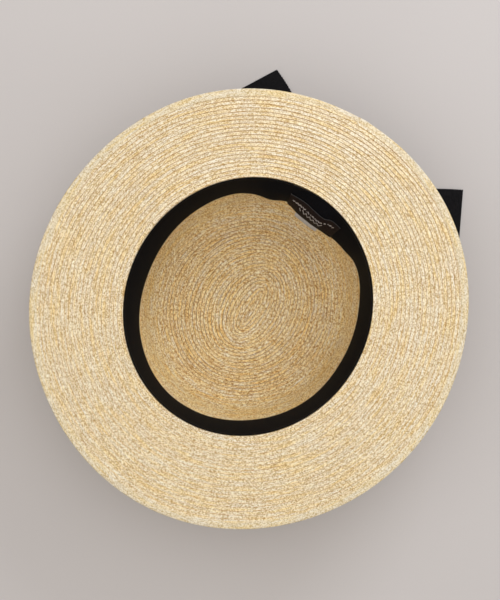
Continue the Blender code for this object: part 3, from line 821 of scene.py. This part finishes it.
def wheat_straw(name, shade_line_strength, shade_line_width, shade_front_share, painted_bounce, speck_colour, straw_share, tones_and_glints):
    """Split wheat straw, plaited flat and sewn row on row. The straws show as short satin lengths in
    lanes along the row, which slant one way and the other, each of its own tone and rounded by the
    bump; the palest tones, up to white, are partly painted glints of the satin sheen. Fine warm
    specks give the grain of the split straw, and streaks of paler and yellower straw run along each
    row. A thin brown line parts the rows: painted shade in the notch between them, over the joint's
    own darker tone, with a margin of painted warm bounce light beside it. It comes and goes along
    them, and is a little weaker at the front of the hat, where the rows lie close: the painted shade
    is strongest at the back, where the key light comes from."""
    material, tree, shader = new_material(name)
    _, along, across, row = unrolled_place(tree)
    place = node(tree, "TexCoord", output=3)
    row_number = node(tree, "Math", {0: row}, operation="FLOOR")

    # Straws: lanes across the row, and lengths that begin anew in each lane
    lanes = node(tree, "Math", {0: across, 1: LANE_WIDTH}, operation="DIVIDE")
    lane = node(tree, "Math", {0: lanes}, operation="FLOOR")
    in_lane = node(tree, "Math", {0: lanes}, operation="FRACT")
    odd_lane = node(tree, "Math", {0: lane, 1: 1.0}, operation="PINGPONG")
    slant = node(tree, "MapRange", {0: odd_lane, 3: -STRAW_SLANT, 4: STRAW_SLANT})
    own_lane = node(tree, "CombineXYZ", {0: lane, 1: row_number})
    lane_start = node(tree, "TexWhiteNoise", {"Vector": own_lane})
    begin = node(tree, "Math", {0: slant, 1: in_lane, 2: lane_start}, operation="MULTIPLY_ADD")
    lengths = node(tree, "Math", {0: along, 1: 1 / STRAW_SHOWS, 2: begin}, operation="MULTIPLY_ADD")
    length_number = node(tree, "Math", {0: lengths}, operation="FLOOR")
    own_length = node(tree, "CombineXYZ", {0: length_number, 1: row_number, 2: lane})
    own = node(tree, "TexWhiteNoise", {"Vector": own_length})
    own_hue = node(tree, "SeparateColor", {0: own.node.outputs[1]}, output=1)

    # Tone and hue: the straw's own, streaks along the row and patches over the hat
    streaks = noise_over(tree, (along, 1 / STREAK_LENGTH), (row_number, STREAK_ROWS_APART),
                         (lanes, LANE_WIDTH / STREAK_WIDTH), output=1)
    pale = node(tree, "SeparateColor", {0: streaks})
    yellow = pale.node.outputs[1]
    patches = node(tree, "TexNoise", {"Vector": place, "Scale": 1 / PATCH_SIZE, "Detail": 1.0})
    shares = (TONE_SHARES["streaks"], TONE_SHARES["patches"], TONE_SHARES["all"] - straw_share / 2)
    broad = sum_of_shares(tree, (pale, patches, 1.0), shares)
    tone = node(tree, "Math", {0: own, 1: straw_share, 2: broad}, operation="MULTIPLY_ADD")
    hue = node(tree, "MapRange", {0: own_hue, 3: -HUE_SPREAD, 4: HUE_SPREAD})
    hue = node(tree, "Math", {0: yellow, 1: hue}, operation="ADD")
    # the palest tones, up to white, are partly painted glints of the straw's satin sheen; the rest is
    # the straw's own tone
    toned = node(tree, "ValToRGB", {0: tone}, stops=tones_and_glints)
    tint = node(tree, "ValToRGB", {0: hue}, stops=STRAW_HUES)
    straw = node(tree, "Mix", {0: 1.0, 6: toned, 7: tint}, output=2,
                 data_type="RGBA", blend_type="MULTIPLY")

    # Grain: specks along each straw
    specks = node(tree, "Math", {0: lengths, 1: STRAW_SHOWS / SPECK_LENGTH}, operation="MULTIPLY")
    speck_number = node(tree, "Math", {0: specks}, operation="FLOOR")
    own_speck = node(tree, "CombineXYZ", {0: speck_number, 1: row_number, 2: lane})
    fine = node(tree, "TexWhiteNoise", {"Vector": own_speck})
    frayed = node(tree, "Math", {0: own, 1: SPECK_OWN_SHARE, 2: fine}, operation="MULTIPLY_ADD")
    frayed = node(tree, "Math", {0: frayed, 1: SPECK_SPREAD}, operation="MULTIPLY")
    grain = node(tree, "ValToRGB", {0: frayed},
                 stops=((SPECK_RANGE[0], speck_colour), (SPECK_RANGE[1], "#ffffff")))
    straw = node(tree, "Mix", {0: 1.0, 6: straw, 7: grain}, output=2,
                 data_type="RGBA", blend_type="MULTIPLY")

    # Painted shade lines between the rows and their painted warm bounce margin: they fade in places and
    # are stronger at the back, where the key light comes from
    from_edge = node(tree, "Math", {0: row, 1: 0.5}, operation="PINGPONG")
    fading = noise_over(tree, (along, 1 / SHADE_FADE_LENGTH), (row_number, SHADE_FADE_ROWS_APART))
    shows = node(tree, "MapRange", {0: fading, 1: SHADE_FADE_RANGE[0], 2: SHADE_FADE_RANGE[1], 3: SHADE_LINE_LEAST, 4: 1.0})
    # the painted shade grows towards the back of the hat, where the key light comes from
    shade_back_way = (math.cos(ROW_LOOSE_AT), math.sin(ROW_LOOSE_AT), 0.0)
    back = node(tree, "VectorMath", {0: place, 1: shade_back_way}, output=1, operation="DOT_PRODUCT")
    back = node(tree, "MapRange", {0: back, 1: SHADE_BACK_FROM, 2: SHADE_BACK_TO, 3: shade_front_share, 4: 1.0})
    shows = node(tree, "Math", {0: shows, 1: back}, operation="MULTIPLY")
    # painted warm bounce light beside the notch between rows
    near = node(tree, "MapRange", {0: from_edge, 1: SHADE_LINE_FROM, 2: BOUNCE_MARGIN_WIDTH, 3: painted_bounce, 4: 0.0},
                interpolation_type="SMOOTHSTEP")
    near = node(tree, "Math", {0: near, 1: shows}, operation="MULTIPLY")
    straw = node(tree, "Mix", {0: near, 6: straw, 7: linear(BOUNCE_MARGIN_COLOUR)}, output=2, data_type="RGBA")
    # painted shade in the notch between rows, over the joint's own darker tone
    line = node(tree, "MapRange", {0: from_edge, 1: SHADE_LINE_FROM, 2: shade_line_width, 3: shade_line_strength, 4: 0.0},
                interpolation_type="SMOOTHSTEP")
    line = node(tree, "Math", {0: line, 1: shows}, operation="MULTIPLY")
    straw = node(tree, "Mix", {0: line, 6: straw, 7: linear(SHADE_LINE_COLOUR)}, output=2, data_type="RGBA")
    gloss = node(tree, "MapRange", {0: own, 3: STRAW_ROUGHNESS[0], 4: STRAW_ROUGHNESS[1]})

    # Relief: each length is rounded across and blunt at its ends
    round_across = ripples(tree, in_lane, math.pi)
    in_length = node(tree, "Math", {0: lengths}, operation="FRACT")
    round_along = ripples(tree, in_length, math.pi)
    round_along = node(tree, "Math", {0: round_along, 1: STRAW_END_POWER}, operation="POWER")
    height = node(tree, "Math", {0: round_across, 1: round_along}, operation="MULTIPLY")
    bump = node(tree, "Bump", {"Strength": 1.0, "Distance": STRAW_RELIEF, "Height": height})
    feed(tree, shader, {"Base Color": straw, "Roughness": gloss, "Normal": bump})
    return material


def black_ribbon(name, rib, relief, dark, light, roughness):
    """Black ribbon, woven with ribs across its length. The crowns of the ribs catch a little more
    light than the valleys, each rib has its own tone, and warp threads break the ribs up."""
    material, tree, shader = new_material(name)
    _, along, across, _ = unrolled_place(tree)
    ribs = node(tree, "Math", {0: along, 1: rib}, operation="DIVIDE")
    crown_of_rib = node(tree, "Math", {0: ribs, 1: 1.0}, operation="PINGPONG")
    crown_of_rib = ripples(tree, crown_of_rib, math.pi)
    warp = ripples(tree, across, 2 * math.pi / WARP_PITCH)
    threads = noise_over(tree, (ribs, RIB_BREAK), (across, 1 / WARP_BREAK))
    tone = sum_of_shares(tree, (crown_of_rib, threads, warp), RIB_TONE_SHARES)
    colour = node(tree, "ValToRGB", {0: tone},
                  stops=((RIB_TONE_RANGE[0], dark), (RIB_TONE_RANGE[1], light)))
    height = node(tree, "Math", {0: warp, 1: WARP_SHARE, 2: crown_of_rib}, operation="MULTIPLY_ADD")
    bump = node(tree, "Bump", {"Strength": 1.0, "Distance": relief, "Height": height})
    gloss = node(tree, "MapRange", {0: threads, 3: roughness - ROUGHNESS_SPREAD,
                                    4: roughness + ROUGHNESS_SPREAD})
    feed(tree, shader, {"Base Color": colour, "Roughness": gloss, "Normal": bump,
                        "Specular IOR Level": RIBBON_SPECULAR})
    return material


def woven_ground(tree, shader, thread, colours):
    """A twill ground: threads that step up row by row, with a slow drift in their colour.

    Gives the place on the unrolled cloth, how far along and across it is, and the colour.
    """
    unrolled, along, across, _ = unrolled_place(tree)
    twill = node(tree, "Math", {0: along, 1: across}, operation="ADD")
    twill = ripples(tree, twill, 2 * math.pi / thread)
    picks = ripples(tree, across, 2 * math.pi / thread)
    drift = noise_over(tree, (along, 1 / GROUND_DRIFT[0]), (across, 1 / GROUND_DRIFT[1]), detail=3.0)
    tone = sum_of_shares(tree, (twill, drift, picks), GROUND_TONE_SHARES)
    height = node(tree, "Math", {0: twill, 1: picks}, operation="ADD")
    bump = node(tree, "Bump", {"Strength": 1.0, "Distance": GROUND_RELIEF, "Height": height})
    feed(tree, shader, {"Normal": bump})
    return unrolled, along, across, node(tree, "ValToRGB", {0: tone}, stops=colours)


def damask_label(name):
    """Brown-black woven label with two rows of plain pale marks, short dashes above a zigzag, which
    stand in for what such a label bears, and a pale edge where its top is folded in. The marks'
    threads are broken up by the ground's."""
    material, tree, shader = new_material(name)
    unrolled, along, across, colour = woven_ground(tree, shader, LABEL_THREAD,
                                                   ((0.32, "#140d0b"), (0.72, "#2a1d18")))
    rows = []
    for mark in LABEL_MARKS:
        wave = node(tree, "Math", {0: along, 1: mark["pitch"]}, operation="DIVIDE")
        wave = node(tree, "Math", {0: wave, 1: 0.5}, operation="PINGPONG")
        course = node(tree, "Math", {0: wave, 1: mark["swing"], 2: mark["across"] - mark["swing"] / 4},
                      operation="MULTIPLY_ADD")
        off = node(tree, "Math", {0: across, 1: course}, operation="SUBTRACT")
        off = node(tree, "Math", {0: off}, operation="ABSOLUTE")
        near = node(tree, "Math", {0: off, 1: mark["thick"] / 2}, operation="LESS_THAN")
        gaps = noise_over(tree, (along, MARK_GAPS / mark["pitch"]), (mark["across"], MARK_ROWS_APART))
        there = node(tree, "Math", {0: gaps, 1: mark["sparse"]}, operation="GREATER_THAN")
        within = node(tree, "Math", {0: along, 1: mark["middle"], 2: mark["half"]}, operation="COMPARE")
        near = node(tree, "Math", {0: near, 1: there}, operation="MULTIPLY")
        rows.append(node(tree, "Math", {0: near, 1: within}, operation="MULTIPLY"))
    marks = node(tree, "Math", {0: rows[0], 1: rows[1]}, operation="MAXIMUM")
    fading = node(tree, "TexNoise", {"Scale": 1 / LABEL_WEAR, "Vector": unrolled})
    left = node(tree, "MapRange", {0: fading, **MARK_WEAR})
    marks = node(tree, "Math", {0: marks, 1: left}, operation="MULTIPLY")
    colour = node(tree, "Mix", {0: marks, 6: colour, 7: linear("#e0d8d0")}, output=2, data_type="RGBA")
    fold = node(tree, "MapRange", {0: across, 1: LABEL_FOLD_AT, 2: LABEL_FOLD_AT + LABEL_FOLD_EASE})
    left = node(tree, "MapRange", {0: fading, **FOLD_WEAR})
    fold = node(tree, "Math", {0: fold, 1: left}, operation="MULTIPLY")
    colour = node(tree, "Mix", {0: fold, 6: colour, 7: linear("#6e7170")}, output=2, data_type="RGBA")
    feed(tree, shader, {"Base Color": colour, "Roughness": 0.65, "Specular IOR Level": 0.12})
    return material


def satin_label(name):
    """White satin care label, its threads faintly greyer in places."""
    material, tree, shader = new_material(name)
    *_, colour = woven_ground(tree, shader, CARE_THREAD, ((0.30, "#c4c1bc"), (0.70, "#e4e2de")))
    feed(tree, shader, {"Base Color": colour, "Roughness": 0.5, "Specular IOR Level": 0.25})
    return material


def painted_board(name):
    """Matt board for the hat to lie on: a faint roller stipple and a slow drift in its tone."""
    material, tree, shader = new_material(name)
    place = node(tree, "TexCoord", output=3)
    drift = node(tree, "TexNoise", {"Vector": place, "Scale": 1 / BOARD_DRIFT, "Detail": 2.0})
    stipple = node(tree, "TexNoise", {"Vector": place, "Scale": 1 / BOARD_STIPPLE, "Detail": 1.0})
    tone = node(tree, "Math", {0: stipple, 1: BOARD_STIPPLE_SHARE, 2: drift}, operation="MULTIPLY_ADD")
    colour = node(tree, "ValToRGB", {0: tone}, stops=((0.35, "#c5c0bc"), (0.95, "#cbc6c2")))
    bump = node(tree, "Bump", {"Strength": 0.3, "Distance": BOARD_RELIEF, "Height": stipple})
    feed(tree, shader, {"Base Color": colour, "Roughness": 0.9, "Normal": bump})
    return material


def area_light(name, angle_deg, distance, height, size, power, colour):
    """A square soft box that stands at an angle round the hat and faces its middle."""
    lamp = bpy.data.lights.new(name, "AREA")
    lamp.size = size
    lamp.energy = power
    lamp.color = linear(colour)[:3]
    made = bpy.data.objects.new(name, lamp)
    bpy.context.scene.collection.objects.link(made)
    made.location = at(distance, math.radians(angle_deg), height)
    aim = -made.location
    made.rotation_mode = "QUATERNION"
    made.rotation_quaternion = aim.to_track_quat("-Z", "Y")


# Materials
# The tone ramps' top stops, up to white, are partly painted glints of the straw's satin sheen
brim_straw = wheat_straw(
    "plaited_wheat_straw_bleached", shade_line_strength=0.68, shade_line_width=0.08, shade_front_share=0.65,
    painted_bounce=0.55, speck_colour="#c0a878", straw_share=0.15, tones_and_glints=(
        (0.18, "#e5c796"), (0.38, "#f4e1bb"), (0.52, "#fbf1d9"), (0.68, "#fffcee"), (0.85, "#ffffff")))
edge_straw = wheat_straw(
    "plaited_wheat_straw_bleached_edge", shade_line_strength=0.68, shade_line_width=0.08, shade_front_share=0.95,
    painted_bounce=0.45, speck_colour="#d0c09c", straw_share=0.12, tones_and_glints=(
        (0.18, "#dfc79c"), (0.38, "#ecdcb9"), (0.52, "#f4ead4"), (0.68, "#f9f5e8"), (0.85, "#fcfaf4")))
# The crown's straw: a warmer, more saturated copy of the brim's, which paints in the warm bounce light
# and shade of the crown's hollow; its shade lines are painted all round
crown_straw_warmed_for_shade = wheat_straw(
    "plaited_wheat_straw_warmed_for_shade", shade_line_strength=0.94, shade_line_width=0.14, shade_front_share=1.00,
    painted_bounce=0.22, speck_colour="#b88b38", straw_share=0.13, tones_and_glints=(
        (0.22, "#fecc8c"), (0.38, "#ffe2a2"), (0.50, "#fff2c3"), (0.63, "#fffdf2"), (0.85, "#ffffff")))
satin = black_ribbon("black_satin_ribbon", rib=0.5 * MM, relief=0.02 * MM,
                     dark="#0b0b0d", light="#171719", roughness=0.55)
grosgrain = black_ribbon("black_grosgrain_ribbon", rib=0.95 * MM, relief=0.12 * MM,
                         dark="#121112", light="#222123", roughness=0.6)
label_cloth = damask_label("black_brown_damask_label")
care_cloth = satin_label("white_satin_care_label")

# Pieces
crown = wound_braid("crown_braid", TIP_ROWS + SIDE_ROWS, CROWN_COLUMNS, crown_wall,
                    CROWN_FIRST_ROW, (-1,), crown_straw_warmed_for_shade)
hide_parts("crown")
brim = wound_braid("brim_braid", BRIM_ROWS, BRIM_COLUMNS, brim_wall,
                   BRIM_FIRST_ROW, (0, -1), brim_straw)
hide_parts("brim")
edge_row = make_edge_row(edge_straw)

band_points = sweatband_sheet(round_angles(SWEATBAND_COLUMNS), np.linspace(1.0, 0.0, SWEATBAND_ROWS),
                              SWEATBAND_WALL / 2)
sweatband = cloth("sweatband_ribbon", band_points, SWEATBAND_RIBBON, satin, ring=True)
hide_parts("sweatband")

label_points = sweatband_sheet(label_angles(LABEL_ANGLE, LABEL_LENGTH, LABEL_COLUMNS, LABEL_TOP_SHARE),
                               np.linspace(LABEL_BOTTOM_SHARE, LABEL_TOP_SHARE, LABEL_ROWS),
                               SWEATBAND_WALL + GAP + LABEL_CLOTH / 2)
back_label = cloth("back_label_cloth", label_points, LABEL_CLOTH, label_cloth)
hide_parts("back_label")

care_label = make_care_label(care_cloth)
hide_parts("care_label")

ribbon_angles = round_angles(RIBBON_COLUMNS)
ribbon_heights = (BOW_HEIGHT + RIBBON_WIDTH / 2 * np.linspace(-1.0, 1.0, RIBBON_ROWS))[:, None]
ribbon_points = at(ribbon_face(ribbon_angles, ribbon_heights) - RIBBON_WALL / 2, ribbon_angles,
                   ribbon_heights)
hat_ribbon = cloth("hat_ribbon_band", ribbon_points[::-1], RIBBON_CLOTH, grosgrain, ring=True)
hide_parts("hat_ribbon")

knot = make_bow_knot(grosgrain)
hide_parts("bow_knot")
for name, side in (("bow_loop_left", -1), ("bow_loop_right", 1)):
    loop = make_bow_loop(name + "_ribbon", side, grosgrain)
    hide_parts(name)
for name, tail in (("ribbon_tail_left", TAILS[0]), ("ribbon_tail_right", TAILS[1])):
    made = make_ribbon_tail(name + "_ribbon", tail, grosgrain)
    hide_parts(name)

# Floor, light and camera
floor_mesh = bpy.data.meshes.new("floor")
floor_corners = [(FLOOR_HALF * x, FLOOR_HALF * y, 0.0) for x, y in ((-1, -1), (1, -1), (1, 1), (-1, 1))]
floor_mesh.from_pydata(floor_corners, [], [(0, 1, 2, 3)])
floor = bpy.data.objects.new("floor", floor_mesh)
bpy.context.scene.collection.objects.link(floor)
floor_mesh.materials.append(painted_board("matt_warm_grey_board"))

world = bpy.data.worlds.new("studio")
bpy.context.scene.world = world
world.use_nodes = True
sky = world.node_tree
up = node(sky, "SeparateXYZ", {0: node(sky, "TexCoord")}, output=2)
overhead = node(sky, "Math", {0: up, 1: DOME["power"]}, operation="POWER")
dome = node(sky, "MapRange", {0: overhead, 1: 0.0, 2: 1.0, 3: DOME["horizon"], 4: DOME["zenith"]})
feed(sky, sky.nodes["Background"], {"Strength": dome, "Color": linear("#f6f3f2")})

area_light("key_soft_box", angle_deg=92.0, distance=1.10, height=0.68, size=0.6, power=6.0,
           colour="#f2f6ff")

bpy.context.scene.view_settings.view_transform = "Standard"
camera_data = bpy.data.cameras.new("camera")
camera_data.lens = CAMERA_LENS
camera = bpy.data.objects.new("camera", camera_data)
bpy.context.scene.collection.objects.link(camera)
camera.location = (
    CAMERA_RIGHT * math.cos(CAMERA_TURN) - CAMERA_UP * math.sin(CAMERA_TURN),
    CAMERA_RIGHT * math.sin(CAMERA_TURN) + CAMERA_UP * math.cos(CAMERA_TURN),
    HAT_HEIGHT + CAMERA_DISTANCE,
)
camera.rotation_euler = (0.0, 0.0, CAMERA_TURN)
bpy.context.scene.camera = camera
